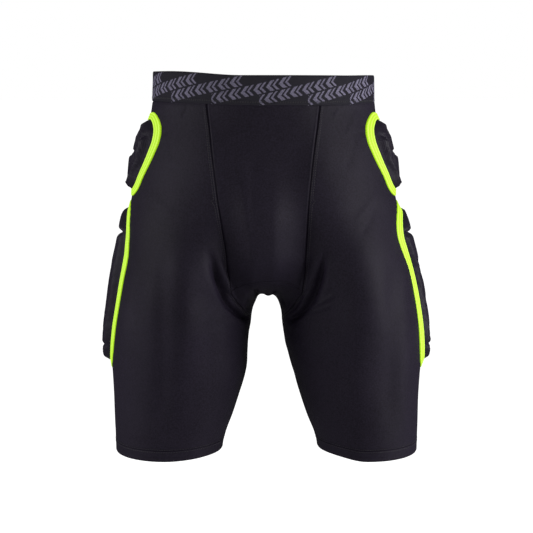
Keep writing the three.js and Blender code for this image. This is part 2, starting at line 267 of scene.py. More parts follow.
def outward(loop):
    along = np.roll(loop, -1, 0) - np.roll(loop, 1, 0)
    along /= np.linalg.norm(along, axis=1)[:, None] + 1e-9
    area = (loop[:, 0] * np.roll(loop[:, 1], -1) - np.roll(loop[:, 0], -1) * loop[:, 1]).sum()
    return np.stack([along[:, 1], -along[:, 0]], -1) * np.sign(area)


def grow(loop, distance):
    return loop + outward(loop) * distance


def depth_inside(loop, u, z):
    """How deep points lie inside an outline: negative outside it."""
    points = np.stack([np.ravel(u), np.ravel(z)], -1)
    a, b = loop, np.roll(loop, -1, 0)
    edge = b - a
    least = np.full(len(points), 1e9)
    inside = np.zeros(len(points), bool)
    for start, run in zip(a, edge):
        away = points - start
        t = np.clip(away @ run / (run @ run + 1e-12), 0, 1)
        least = np.minimum(least, np.linalg.norm(away - t[:, None] * run, axis=1))
        end = start + run
        spans = (start[1] > points[:, 1]) != (end[1] > points[:, 1])
        rise = run[1] if abs(run[1]) > 1e-12 else 1e-12
        inside ^= spans & (points[:, 0] < start[0] + (points[:, 1] - start[1]) / rise * run[0])
    return np.where(inside, least, -least).reshape(np.shape(u))


def between(loop, top, bottom):
    """The part of an outline between two heights."""
    for level, sign in ((top, 1), (bottom, -1)):
        kept = []
        for p, q in zip(loop, np.roll(loop, -1, 0)):
            here, there = sign * (level - p[1]), sign * (level - q[1])
            if here >= 0:
                kept.append(p)
            if here * there < 0:
                kept.append(p + (q - p) * here / (here - there))
        loop = np.array(kept)
    return loop


PADS = {
    "hip": dict(
        wall=side_wall, bulge=10.8, count=340,
        points=[(-34, -57), (-50, -69), (-55.5, -86), (-53.5, -102), (-49, -117), (-42, -132), (-33.5, -145),
                (-22, -153), (-8, -155.8), (10, -154.5), (30, -149), (52, -135), (67, -115), (74, -92),
                (69, -75), (50, -64), (20, -60), (-12, -57.5)],
        foams={"foam_upper": (-58, -102, 0.6, 0.93), "foam_lower": (-107.5, -160, 1.18, 0.9)},
        lift={1: 2.2, -1: 1.4}, inset=(1.4, 5.0),
        grooves=[(-105, 7.0, 2.7)],
        groove_rise=curve([(80, 0), (-8, 0), (-26, 1), (-34, 9), (-42, 24), (-48, 34), (-56, 45)]),
        creases=[(9, 1.5, -1.6, 0.6), (12.5, 1.8, 2.6, 0.8), (17.5, 2.2, -2.8, 1.4), (27, 2.6, 0.8, 4.5)],
    ),
    "thigh": dict(
        wall=side_wall, bulge=10.4, count=460,
        points=[(-14, -177), (-36, -190), (-46, -209), (-42, -230), (-32, -256), (-26, -285), (-24, -320),
                (-24, -352), (-18, -375), (-4, -386), (12, -388.5), (28, -386), (43, -375), (49, -352),
                (50, -320), (53, -285), (60, -256), (68, -230), (68, -209), (57, -190), (36, -177),
                (12, -172)],
        foams={"foam_upper": (-170, -206.5, 0.75, 0.85), "foam_middle": (-212.5, -356, 0.9, 1.05),
               "foam_lower": (-360.5, -390, 1.0, 0.75)},
        lift={1: 3.4, -1: 0.6}, inset=(2.0, 3.5),
        grooves=[(-209.5, 8.5, 2.8), (-358.5, 2.5, 2.2)],
        groove_rise=curve([(80, 0), (-10, 0), (-56, 4)]),
        creases=[(10.5, 1.8, 1.1, 0.3), (15.5, 2.2, -1.3, 1.1), (22, 2.2, 0.8, 2.0)],
    ),
    "tailbone": dict(
        wall=back_wall, bulge=10.0, count=260,
        points=[(0, -57), (34, -60), (47, -76), (45, -100), (31, -130), (0, -152), (-31, -130), (-45, -100),
                (-47, -76), (-34, -60)],
        foams={"foam_upper": (-57, -98, 1.0, 1.0), "foam_lower": (-102, -150, 1.0, 1.0)},
        lift={1: 0}, inset=(3.0, 3.0),
        grooves=[(-100, 4.0, 2.4)],
        groove_rise=curve([(80, 0), (-80, 0)]),
        creases=[(13, 1.6, -0.6, 0.9)],
    ),
}
for pad in PADS.values():
    pad["path"] = outline(pad["points"], pad["count"])
    pad["inside"] = grow(pad["path"], -TAPE_WIDTH / 2 + 0.4)

# ---------------------------------------------------------------- meshes from grids


# How far back the right side's tape and pad lie, by height: that leg turns out a little below the hip
TURNED_BACK = curve([(-170, 0), (-196, 12.5), (-214, 9.5), (-236, -2), (-256, -9.5), (-284, -12.5),
                     (-320, -9), (-385, 0)])
HIP_FORWARD = 6.8  # how far forward the lower end of both hip tapes is drawn
HIP_LEAN = -2.6
LEG_LEAN = 1.2
INSEAM_OUT = 4.5  # how much further in the lower inner legs reach
HEM_LIFT = {1: 5, -1: 2.5}  # how much higher the hems are at the inner legs


def as_worn(points):
    """The worn shape, which isn't quite even: a slight lean, legs turned a little, hems lifted inside.

    On the side walls the cloth, the tapes and the pads slide forward or back along the wall.
    """
    x, y, z = points.T
    lean = HIP_LEAN * smooth_step((z + 240) / 90) + LEG_LEAN * smooth_step((-240 - z) / 80)
    middle_x = centre_x(z)
    inner = smooth_step((middle_x - np.abs(x)) / 40) * smooth_step((-345 - z) / 60)
    depth = np.where(y < 0, front_y(z), back_y(z))
    beside = smooth_step((0.88 - np.abs(y) / depth) / 0.35) * smooth_step((np.abs(x) - middle_x) / 40)
    forward = HIP_FORWARD * hump(z, -158, 17) * smooth_step((z + 186) / 16)
    slid = (TURNED_BACK(z) * (x < 0) - forward) * beside
    aside = (wall_reach(y + slid, z) - wall_reach(y, z)) * np.sign(x)
    lift = np.where(x > 0, HEM_LIFT[1], HEM_LIFT[-1])
    lifted = lift * smooth_step((middle_x - np.abs(x)) / 60) * smooth_step((-455 - z) / 45)
    return points + np.stack([lean + INSEAM_OUT * inner + aside, slid, lifted], -1)


def add_object(name, data):
    made = bpy.data.objects.new(name, data)
    bpy.context.scene.collection.objects.link(made)
    return made


def make_mesh(name, points, faces, uv=None, wrap=None):
    """A mesh object in metres from millimetre points.

    uv holds one pair per point; wrap = (axis, length) says that this coordinate starts again after a length.
    """
    mesh = bpy.data.meshes.new(name)
    worn = as_worn(np.asarray(points, float)) * MM
    mesh.from_pydata(worn.tolist(), [], [list(map(int, f)) for f in faces])
    if uv is not None:
        layer = mesh.uv_layers.new(name="UVMap")
        corners = np.asarray(uv, float)[np.asarray(faces)]
        if wrap:
            axis, length = wrap
            along = corners[..., axis]
            split = np.ptp(along, axis=1) > length / 2
            along[split[:, None] & (along < length / 2)] += length
        layer.data.foreach_set("uv", corners.ravel())
    mesh.shade_smooth()
    return add_object(name + "_finished", mesh)


def grid_faces(rows, columns, looped=False):
    last = columns if looped else columns - 1
    r, c = spread(np.arange(rows - 1), np.arange(last))
    here, after = r * columns + c, r * columns + (c + 1) % columns
    return np.stack([here, after, after + columns, here + columns], -1).reshape(-1, 4)


def leg_axis(points):
    """The middle of the leg at the height of each point, on the point's own side."""
    z = points[:, 2]
    return np.stack([centre_x(z) * np.sign(points[:, 0]), 0 * z, z], -1)


def waist_axis(points):
    return points * (0, 0, 1)


def body_middle(points):
    return np.array([[0, 10, -180.0]])


def facing_out(points, faces, inside):
    """The faces, turned over if most of them look towards the inside."""
    corners = points[faces]
    normals = np.cross(corners[:, 2] - corners[:, 0], corners[:, 3] - corners[:, 1])
    centres = corners.mean(1)
    outward = ((centres - inside(centres)) * normals).sum()
    return faces if outward > 0 else faces[:, ::-1]


def grid_sheet(name, grid, side=1, looped=False, uv=None, keep=None, thickness=CLOTH, inside=leg_axis,
               wrap=None):
    """An open sheet over a grid of points, with a live Solidify that thickens it inwards."""
    rows, columns = grid.shape[:2]
    faces = grid_faces(rows, columns, looped)
    if keep is not None:
        faces = faces[keep.ravel()]
    points = grid.reshape(-1, 3) * (side, 1, 1)
    faces = facing_out(points, faces, inside)
    used = np.unique(faces)
    renumber = np.full(len(points), -1)
    renumber[used] = np.arange(len(used))
    uv = None if uv is None else uv.reshape(-1, 2)[used]
    piece = make_mesh(name, points[used], renumber[faces], uv, wrap)
    solid = piece.modifiers.new("Thickness", "SOLIDIFY")
    solid.thickness = thickness * MM
    solid.offset = -1
    solid.use_rim = True
    return piece


# ---------------------------------------------------------------- materials


class Tree:
    """A material's or world's node tree, with short ways to add nodes and link them."""

    def __init__(self, owner):
        owner.use_nodes = True
        self.nodes, self.link = owner.node_tree.nodes, owner.node_tree.links.new

    def add(self, kind, vector=None, **settings):
        made = self.nodes.new("ShaderNode" + kind)
        for key, value in settings.items():
            if key in made.inputs:
                made.inputs[key].default_value = value
            else:
                setattr(made, key, value)
        if vector is not None:
            self.link(vector, made.inputs["Vector"])
        return made

    def math(self, operation, *values):
        made = self.add("Math", operation=operation)
        for socket, value in zip(made.inputs, values):
            if isinstance(value, (int, float)):
                socket.default_value = value
            else:
                self.link(value, socket)
        return made.outputs[0]

    def wave(self, operation, value, times):
        return self.math(operation, self.math("MULTIPLY", value, times))

    def mix(self, share, first, second):
        """A colour between two; the second is a colour or another node's output."""
        made = self.add("Mix", data_type="RGBA")
        made.inputs[6].default_value = (*first, 1)
        if isinstance(second, tuple):
            made.inputs[7].default_value = (*second, 1)
        else:
            self.link(second, made.inputs[7])
        self.link(share, made.inputs[0])
        return made.outputs[2]

    def bump(self, shader, height, strength, distance):
        made = self.add("Bump", Strength=strength, Distance=distance)
        self.link(height, made.inputs["Height"])
        self.link(made.outputs[0], shader.inputs["Normal"])


def new_material(name, colour, roughness):
    material = bpy.data.materials.new(name)
    tree = Tree(material)
    shader = tree.nodes["Principled BSDF"]
    shader.inputs["Base Color"].default_value = (*colour, 1)
    shader.inputs["Roughness"].default_value = roughness
    return material, tree, shader


def matte_at_edges(tree, shader, level):
    """Gloss that fades where the surface turns away, as it does on a fibrous cloth."""
    facing = tree.add("LayerWeight", Blend=0.5).outputs["Facing"]
    gloss = shader.inputs["Specular IOR Level"]
    gloss.default_value = level / 3
    tree.link(tree.math("MULTIPLY", tree.math("SUBTRACT", 1, facing), level), gloss)


TURN = 2 * math.pi


def knit_material(name, colour, lighter, roughness, stitch=0.9, strength=0.25):
    """Fine warp knit: rows of small loops as bump, with a little unevenness in its colour."""
    material, tree, shader = new_material(name, colour, roughness)
    matte_at_edges(tree, shader, 0.09)
    place = tree.add("TexCoord").outputs
    scale = tree.add("Mapping", place["UV"], Scale=(1000 / stitch, 1000 / stitch, 1))
    split = tree.add("SeparateXYZ", scale.outputs[0]).outputs
    wale = tree.wave("SINE", split[0], TURN)
    course = tree.wave("SINE", tree.math("MULTIPLY_ADD", wale, 0.25, split[1]), TURN)
    tree.bump(shader, tree.math("MULTIPLY_ADD", course, 0.5, wale), strength, 0.0002)
    cloud = tree.add("TexNoise", place["Object"], Scale=9, Detail=3).outputs["Fac"]
    grain = tree.add("TexNoise", place["Object"], Scale=520, Detail=2).outputs["Fac"]
    speckle = tree.math("MULTIPLY_ADD", grain, 1.8, -0.65)
    share = tree.math("ADD", speckle, tree.math("SUBTRACT", cloud, 0.25))
    tree.link(tree.mix(share, colour, lighter), shader.inputs["Base Color"])
    return material


def tape_material():
    """Lime flat tape: three sewn ridges with threads across them at a slant; its colour follows the bump,
    paler on raised threads and ridge tops (pale yarn with painted highlight) and deeper in the grooves
    (painted shade).
    """
    # the deep colour is painted shade for the grooves; the pale colour is partly the yarn's own, partly
    # painted highlight
    lime, pale_yarn_and_highlight, deep = (0.27, 0.46, 0.008), (0.38, 0.52, 0.085), (0.17, 0.33, 0.002)
    material, tree, shader = new_material("lime_tape", lime, 0.55)
    shader.inputs["Specular IOR Level"].default_value = 0.25
    shader.inputs["Emission Strength"].default_value = 1.0  # painted glow: the tape gives off light of its own, standing in for how bright a fluorescent yarn looks
    across, along, _ = tree.add("SeparateXYZ", tree.add("TexCoord").outputs["UV"]).outputs
    slant = tree.math("MULTIPLY_ADD", across, 1.4, tree.math("MULTIPLY", along, 5.5))
    thread = tree.wave("SINE", slant, TURN)
    ridge = tree.wave("COSINE", across, 3 * TURN)
    height = tree.math("MULTIPLY_ADD", thread, 0.35, tree.math("MULTIPLY", ridge, -0.5))
    tree.bump(shader, height, 0.5, 0.0004)
    # painted highlight and shade: the colour follows the bump height, deep in the grooves between ridges,
    # pale on raised threads and ridge tops
    ramp = tree.add("ValToRGB")
    stops = ramp.color_ramp.elements
    stops[0].color = (*deep, 1)
    stops[1].color = (*pale_yarn_and_highlight, 1)
    stops.new(0.45).color = (*lime, 1)
    tree.link(tree.math("MULTIPLY_ADD", height, 0.5, 0.5), ramp.inputs[0])
    # the painted highlight and shade go into the colour and into the painted glow alike
    for socket in ("Base Color", "Emission Color"):
        tree.link(ramp.outputs[0], shader.inputs[socket])
    return material


def speckled_material(name, dark, light, roughness, scale, bump_depth):
    """A plain material with a fine grain in its colour and surface, for foam, mesh lining and silicone."""
    material, tree, shader = new_material(name, dark, roughness)
    grain = tree.add("TexVoronoi", tree.add("TexCoord").outputs["Object"], Scale=scale).outputs["Distance"]
    tree.link(tree.mix(grain, dark, light), shader.inputs["Base Color"])
    tree.bump(shader, grain, 0.5, bump_depth)
    return material


MOTIF_PITCH = 62.0


def elastic_material():
    """Jacquard waistband: a generic motif of slanted chevrons in grey yarn, stepped to the stitches."""
    stitch, slope, tall = 0.62, 0.245, 13.2
    first, last = 26.0, 128.0  # where a row of chevrons starts and ends
    step, wide, gap, narrow = 16.0, 5.0, 3.0, 3.0  # a wide and a narrow stroke in each step
    rib = 1.25
    material, tree, shader = new_material("jacquard_elastic", BLACK, 0.75)
    matte_at_edges(tree, shader, 0.2)
    m = tree.math
    u, v, _ = tree.add("SeparateXYZ", tree.add("TexCoord").outputs["UV"]).outputs
    stepped = [m("FLOOR", m("DIVIDE", m("MULTIPLY", w, 1000), stitch)) for w in (u, v)]
    along, up = (m("MULTIPLY", w, stitch) for w in stepped)
    lift = m("SUBTRACT", up, m("MULTIPLY", along, slope))
    row = m("ROUND", m("DIVIDE", lift, -MOTIF_PITCH * slope))
    x = m("SUBTRACT", along, m("MULTIPLY", row, MOTIF_PITCH))
    off_centre = m("ABSOLUTE", m("ADD", lift, m("MULTIPLY", row, MOTIF_PITCH * slope)))
    slanted = m("SUBTRACT", x, m("MULTIPLY", off_centre, 0.9))
    cell = m("MODULO", m("ADD", slanted, step * 80), step)
    second = m("MULTIPLY", m("GREATER_THAN", cell, wide + gap), m("LESS_THAN", cell, wide + gap + narrow))
    stroke = m("MAXIMUM", m("LESS_THAN", cell, wide), second)
    length = m("MULTIPLY", m("GREATER_THAN", x, first), m("LESS_THAN", x, last))
    mask = m("MULTIPLY", m("MULTIPLY", stroke, m("LESS_THAN", off_centre, tall / 2)), length)
    spot = tree.add("CombineXYZ")
    tree.link(along, spot.inputs[0])
    tree.link(up, spot.inputs[1])
    grain = tree.add("TexWhiteNoise", spot.outputs[0], noise_dimensions="2D").outputs["Value"]
    yarn = tree.mix(grain, (0.07, 0.064, 0.098), (0.19, 0.175, 0.25))
    tree.link(tree.mix(mask, (0.0105, 0.0092, 0.0150), yarn), shader.inputs["Base Color"])
    ribs, rows = (tree.wave("SINE", w, TURN * 1000 / rib) for w in (u, v))
    tree.bump(shader, m("ADD", m("MULTIPLY", ribs, rows), mask), 0.5, 0.0003)
    return material


BLACK = (0.0072, 0.0056, 0.0100)
BLACK_LIT = (0.0160, 0.0128, 0.0226)
KNIT = knit_material("stretch_knit", BLACK, BLACK_LIT, 0.55)
COVER_KNIT = knit_material("pad_cover_knit", BLACK, BLACK_LIT, 0.45)
ELASTIC_BACK = knit_material("elastic_back", (0.02, 0.02, 0.023), (0.03, 0.03, 0.035), 0.8, 1.4, 0.5)
THREAD = speckled_material("black_thread", (0.0035, 0.003, 0.0045), (0.011, 0.009, 0.014), 0.6, 2500, 0.0001)
# the lime tape's material has a painted glow, and painted highlight and shade on its ridges
LIME_TAPE_WITH_PAINTED_LIGHT = tape_material()
FOAM = speckled_material("foam", (0.07, 0.073, 0.08), (0.12, 0.125, 0.135), 0.9, 900, 0.0003)
LINING = speckled_material("lining_mesh", (0.012, 0.012, 0.014), (0.06, 0.06, 0.068), 0.8, 700, 0.0004)
SILICONE = speckled_material("silicone", (0.25, 0.27, 0.29), (0.33, 0.35, 0.37), 0.35, 300, 0.0002)
SATIN = speckled_material("label_satin", (0.78, 0.78, 0.76), (0.86, 0.86, 0.84), 0.45, 1500, 0.0001)
ELASTIC = elastic_material()


def finish_piece(piece, material, slot, replaced=(), body=None, side=None, sheet=None, padded=None):
    """Gives a piece its material, hides the CAD parts that it stands for, and attaches it to its body; a
    piece on a side is only baked in place.
    """
    if not piece.data.materials:
        piece.data.materials.append(material)
    if replaced:
        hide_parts(*replaced)
    if side:
        bend_at_hip(piece, side)
    else:
        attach(piece, body)
    return piece


# ---------------------------------------------------------------- how far the cloth would follow a lifted leg (worked out, not applied)

BEND_ABOVE = 55
BEND_BELOW = 75
PIN_REACH = 62
INSEAM_RELEASE = 65


def leg_share(points, side):
    """How far each point goes with the leg: none above the hip and at the middle seams, all down the leg."""
    x, z = points[:, 0] * SIDES[side], points[:, 2]
    hinge = HINGE[side + "_hip"][2]
    down = smooth_step((hinge + BEND_ABOVE - z) / (BEND_ABOVE + BEND_BELOW))
    seam = skin(z, seam_angle(z, False))[:, 0]
    held = (x - seam) / PIN_REACH + np.maximum(GUSSET_TIP - z, 0) / INSEAM_RELEASE
    return down * smooth_step(held)


def bend_at_hip(piece, side):
    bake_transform(piece)
    points = np.array([v.co for v in piece.data.vertices]) / MM
    weights = leg_share(points, side).astype(np.float32)


# ---------------------------------------------------------------- panels

SEAM_SINK = 1.1
SEAM_ROUND = 1.0
SIDE_WALL = 92  # further out than this, the cloth lies round the hip and thigh pads


def spread_out(count, length, fine=(0, 0.5, 1.0, 1.6, 2.3, 3.1, 4.0, 5.0)):
    """Shares 0..1 along a width, close together at both ends so that a rolled seam edge can be drawn."""
    ends = np.array(fine) / length
    inner = np.linspace(ends[-1], 1 - ends[-1], count)
    return np.concatenate([ends[:-1], inner, 1 - ends[-2::-1]])


def seam_edge(distance):
    """How a panel's edge turns in to its seam, with a low bead where the seam allowance lies behind it."""
    return 0.3 * hump(distance, 2.6, 0.9) - SEAM_SINK * hump(distance, 0, SEAM_ROUND)


# Soft folds of the worn cloth: (side of the body, x at -250, x at -470, half width, height, top, bottom)
LEG_FOLDS = [
    (-1, 127, 137, 10, -2.4, -205, -476),
    (-1, 102, 114, 13, 1.8, -220, -478),
    (-1, 66, 84, 10, -1.2, -262, -430),
    (1, 156, 161, 11, -1.8, -215, -474),
    (1, 177, 182, 11, 1.8, -215, -478),
    (1, 86, 98, 13, -1.3, -250, -440),
    (1, 118, 124, 14, 0.8, -262, -470),
]
# Fine creases that run into the tips of the gusset: (x, z) at each end, depth, half width
GUSSET_CREASES = [
    ((57, -222), (31, -309), 2.2, 3.0),
    ((66, -250), (30, -313), 1.2, 1.7),
    ((54, -268), (28, -319), 0.9, 1.2),
]
# Drag lines under the waistband, beside the pads and at the crotch: (x, z) at each end, height, half width
DRAG_LINES = [
    ((-95, -38), (-107, -58), 0.9, 1.7),
    ((-91, -38), (-102, -58), -0.7, 1.6),
    ((96, -44), (88, -58), 0.6, 2.4),
    ((118, -48), (104, -82), 0.7, 3.5),
    ((-126, -62), (-112, -112), -0.6, 5),
    ((121, -70), (104, -120), -0.6, 5),
    ((-150, -150), (-108, -182), 0.6, 4),
    ((152, -150), (112, -186), 0.7, 4),
    ((150, -162), (118, -204), -0.6, 3.5),
    ((-12, -92), (-16, -200), -1.0, 9),
    ((90, -276), (48, -303), 1.8, 2.2),
    ((86, -290), (54, -306), 1.2, 1.8),
    ((-16, -268), (-9, -294), -5.0, 3.2),
    ((-30, -272), (-27, -306), 2.2, 5.0),
    ((11, -274), (23, -306), -4.5, 3.6),
]
# How far out the deep fold between body and thigh lies, by height
FOLD_X = curve([(-200, 76), (-232, 68), (-262, 60), (-292, 48), (-318, 27)])
BODY_HEIGHT = 12.0
TURN_HEIGHT = 2.5
LOWER_HEIGHT = 1.6
THIGH_HEIGHT = 10.0
THIGH_X = {1: 128, -1: 106}
FOLD_DEPTH = 10
WRINKLE = 1.7


def line_hump(x, z, start, end, width):
    """1 on a line between two points of the front view, falling off beside it and at its ends."""
    start, end = np.array(start, float), np.array(end, float)
    run = end - start
    length = np.hypot(*run)
    along = ((x - start[0]) * run[0] + (z - start[1]) * run[1]) / length**2
    beside = ((x - start[0]) * run[1] - (z - start[1]) * run[0]) / length
    ends = smooth_step(along * 5) * smooth_step((1 - along) * 5)
    return hump(beside, 0, width) * ends


def relief(points):
    """How far the cloth stands off the plain body surface at each point."""
    x, y, z = points[..., 0], points[..., 1], points[..., 2]
    front = smooth_step(-y / 40 + 0.2)
    side = np.abs(x)
    h = 0.35 * np.sin(x / 19 + 0.7 * np.sin(z / 27)) * np.sin(z / 37 + y / 21 + 1)
    h = h + 0.25 * np.sin(x / 11 + y / 13 - z / 40) * np.sin(z / 23)
    beyond = np.where(x < 0, np.minimum(x + 18, 0) / 17, np.maximum(x - 10, 0) / 24)
    h = h + front * BODY_HEIGHT * hump(beyond, 0, 1) * window(z, -100, 95, -302, 62)
    lower_front = smooth_step((-205 - z) / 55) * smooth_step((z + 289) / 30) * np.exp(-((x / 44) ** 4))
    h = h + front * LOWER_HEIGHT * lower_front
    turned = x / 50 * np.exp(0.5 - (x / 50) ** 2 / 2) * window(z, -60, 60, -300, 50)
    h = h - front * TURN_HEIGHT * turned
    thigh = hump(side, np.where(x > 0, THIGH_X[1], THIGH_X[-1]), 34) * window(z, -165, 90, -400, 110)
    h = h + front * THIGH_HEIGHT * thigh
    crotch = window(z, -214, 50, -327, 14)
    notch = smooth_step((-262 - z) / 20) * hump(x, 0, 24) * smooth_step((40 - y) / 60)
    h = h + notch * WRINKLE * np.sin(x / 3.2 + 0.8 * np.sin(z / 6))
    groin = side - FOLD_X(z) - 5 * (x > 0)
    h = h - front * crotch * FOLD_DEPTH * hump(groin, 0, np.where(groin < 0, 3.2, 6))
    h = h + front * crotch * 1.8 * hump(groin, -8.5, 3.5) * (side > seam_x(z))
    for sign, top_x, low_x, width, height, top, bottom in LEG_FOLDS:
        middle_x = top_x + (low_x - top_x) * (-250 - z) / 220
        here = window(z, top, 60, bottom, 60) * (np.sign(x) == sign)
        h = h + front * height * here * hump(side, middle_x, width)
    for start, end, depth, width in GUSSET_CREASES:
        h = h - front * depth * line_hump(side, z, start, end, width)
    for start, end, height, width in DRAG_LINES:
        h = h + front * height * line_hump(x, z, start, end, width)
    return h


def fixed_edges(z):
    """Fades the relief out where a panel is sewn to the waistband or the hem."""
    return window(z, WAISTBAND_BOTTOM, 12, HEM_TOP, 14)


def pucker(points):
    """Small gathers in the cloth beside the tapes."""
    y, z = points[..., 1], points[..., 2]
    h = 0 * y
    for pad, count in (("hip", 37), ("thigh", 61)):
        loop = PADS[pad]["path"]
        middle_u, middle_z = loop.mean(0)
        away = -depth_inside(loop[::4], y, z) - TAPE_WIDTH / 2
        turn = np.arctan2(z - middle_z, y - middle_u)
        wave = np.sin(turn * count + 2 * np.sin(turn * 5)) * (0.6 + 0.4 * np.sin(turn * 7 + 1))
        h = h + 0.32 * wave * hump(np.maximum(away, 0), 0, 7)
    return h * (np.abs(points[..., 0]) > SIDE_WALL)


NEAR_HEM = np.array([2.2, 1, 0.4, 0])
LEG_ROWS = np.concatenate([[-35.5], np.arange(-37.5, HEM_LINE + 3, -2.6), HEM_LINE + NEAR_HEM])


def under_waistband(z):
    """How far a panel tucks in behind the waistband."""
    return 1.4 * smooth_step((z - WAISTBAND_BOTTOM + 3) / 4)


def leg_panel(name, side, back):
    sign = SIDES[side]
    z, share = spread(LEG_ROWS, spread_out(80, 190))
    start = np.abs(seam_angle(z, back))
    angle = (start + (math.pi - start) * share) * (-1 if back else 1)
    flat = skin(z, angle)
    step = np.linalg.norm(np.diff(flat, axis=1), axis=2)
    run = np.concatenate([np.zeros((len(z), 1)), np.cumsum(step, axis=1)], axis=1)
    to_edge = np.minimum(run, run[:, -1:] - run)
    out = seam_edge(to_edge) + 0.3 * seam_edge(z - HEM_LINE) - under_waistband(z)
    out = out + (relief(flat * (sign, 1, 1)) + pucker(flat)) * fixed_edges(z)
    grid = skin(z, angle, out)
    uv = np.stack([run * MM, z * MM], -1)
    centres = cell_centres(grid)
    keep = np.ones(centres.shape[:2], bool)
    outer = centres[..., 0] > SIDE_WALL
    for pad in ("hip", "thigh"):
        loop = grow(PADS[pad]["path"][::4], -1.5)
        keep &= ~(outer & (depth_inside(loop, centres[..., 1], centres[..., 2]) > 0))
    piece = grid_sheet(f"{side}_{name}", grid, sign, uv=uv, keep=keep)
    finish_piece(piece, KNIT, "black_stretch_knit", [f"{side}_{name}"], side=side, sheet=(0.26, 0.44))


def middle_panel(name, rows, cut, hole=None):
    """A panel between the long seams; rows are (seam height, back) pairs, and cut, its flat size, is not
    used.
    """
    shares = spread_out(50, 110)
    lines = []
    for z, back in rows:
        across = shares * 2 - 1
        heights = np.full_like(across, z)
        flat = middle(heights, back, across)
        run = run_along(flat)
        to_edge = np.minimum(run, run[-1] - run)
        out = seam_edge(to_edge) - under_waistband(z) + 0.6 * seam_edge(abs(z - GUSSET_SEAM) * 1.3)
        out = out + relief(flat) * fixed_edges(z)
        lines.append(middle(heights, back, across, out))
    grid = np.array(lines)
    along = run_along(grid[:, grid.shape[1] // 2])
    uv = np.stack([grid[..., 0] * MM, along[:, None] * MM + 0 * grid[..., 0]], -1)
    keep = None
    if hole is not None:
        centres = cell_centres(grid)
        keep = depth_inside(grow(hole[::4], -1.5), centres[..., 0], centres[..., 2]) < 0
    piece = grid_sheet(name, grid, uv=uv, keep=keep, inside=body_middle)
    finish_piece(piece, KNIT, "black_stretch_knit", [name], body="pelvis", sheet=cut)


NEAR_SEAM = np.array([0.2, 0.6, 1.1, 1.7, 2.4, 3.2, 4.2])
UPPER_ROWS = np.concatenate([[-35.5], np.linspace(-37.5, GUSSET_SEAM + 5.5, 96),
                             GUSSET_SEAM + NEAR_SEAM[::-1]])
DOWN_TO_TIP = np.sin(np.linspace(0, math.pi / 2, 30))
GUSSET_ROWS = GUSSET_SEAM - np.concatenate([NEAR_SEAM, 5.5 + (GUSSET_SEAM - 5.5 - GUSSET_TIP) * DOWN_TO_TIP])


def make_panels():
    for side in SIDES:
        leg_panel("front_leg_panel", side, False)
        leg_panel("rear_leg_panel", side, True)
    middle_panel("front_centre_panel", [(z, False) for z in UPPER_ROWS], (0.15, 0.24))
    hole = PADS["tailbone"]["path"]
    middle_panel("rear_centre_panel", [(z, True) for z in UPPER_ROWS], (0.15, 0.26), hole)
    rows = [(z, False) for z in GUSSET_ROWS] + [(z, True) for z in GUSSET_ROWS[-2::-1]]
    middle_panel("gusset", rows, (0.09, 0.22))


# ---------------------------------------------------------------- stitches

STITCH = 2.3
STITCH_GAP = 0.8
THREAD_WIDTH = 0.5
THREAD_HEIGHT = 0.3
BESIDE_SEAM = (2.0, 4.6)
ABOVE_HEM = (13.0, 16.5)


def stitch_mesh(name, rows):
    """Short raised stitches; each row is a line on the cloth and the same line 1 mm above it."""
    every = []
    for low_line, high_line in rows:
        run = run_along(low_line)
        starts = np.arange(0.5, run[-1] - STITCH, STITCH + STITCH_GAP)

        def on(line, where):
            return np.stack([np.interp(where, run, line[:, axis]) for axis in range(3)], -1)

        where = starts[:, None] + STITCH * np.array([0, 0.25, 0.75, 1])[None, :]
        centre = on(low_line, where)
        up = on(high_line, where) - centre
        up /= np.linalg.norm(up, axis=-1, keepdims=True)
        along = on(low_line, where + 0.4) - on(low_line, where - 0.4)
        beside = np.cross(along, up)
        beside *= THREAD_WIDTH / 2 / (np.linalg.norm(beside, axis=-1, keepdims=True) + 1e-9)
        height = (THREAD_HEIGHT * np.array([-0.3, 1, 1, -0.3]))[None, :, None]
        section = [centre + beside + up * height * 0.4, centre + up * height,
                   centre - beside + up * height * 0.4, centre - up * 0.3]
        every.append(np.stack(section, 2).reshape(-1, 3))
    points = np.vstack(every)
    tube = [(4 * s + j, 4 * s + 4 + j, 4 * s + 4 + (j + 1) % 4, 4 * s + (j + 1) % 4)
            for s in range(3) for j in range(4)]
    one = np.array(tube + [(0, 1, 2, 3), (15, 14, 13, 12)])
    faces = (np.arange(len(points) // 16)[:, None, None] * 16 + one[None]).reshape(-1, 4)
    return make_mesh(name, points, faces)


def seam_line(side, back, distance):
    """A line on a leg panel, beside its long seam, and the same line 1 mm above the cloth."""
    z = np.arange(-43.0, GUSSET_TIP + 3, -1.5)
    start = np.abs(seam_angle(z, back))
    turn = -1 if back else 1
    per_radian = np.linalg.norm(skin(z, (start + 0.01) * turn) - skin(z, start * turn), axis=1) / 0.01
    angle = (start + distance / per_radian) * turn
    mirror = (SIDES[side], 1, 1)
    lift = relief(skin(z, angle) * mirror) * fixed_edges(z) + seam_edge(distance)
    return skin(z, angle, lift) * mirror, skin(z, angle, lift + 1) * mirror


def make_seam_stitches():
    for side in SIDES:
        rows = [seam_line(side, back, distance) for back in (False, True) for distance in BESIDE_SEAM]
        threads = stitch_mesh(f"{side}_seam_thread", rows)
        finish_piece(threads, THREAD, "black_stretch_knit", side=side)


# ---------------------------------------------------------------- pads

FOAM_ROUND = 3.5
CUT_ROUND = 2.5
TIGHTEN = 90  # steps that draw the cloth tight over the foam
SOFTEN = 3


def foam_pocket(pad):
    """The outline that the foam fills: closer to the tape above and below than in front and behind."""
    least, most = pad["inset"]
    sideways = np.abs(outward(pad["inside"])[:, 0])
    return grow(pad["inside"], -(least + (most - least) * sideways**2)[:, None])


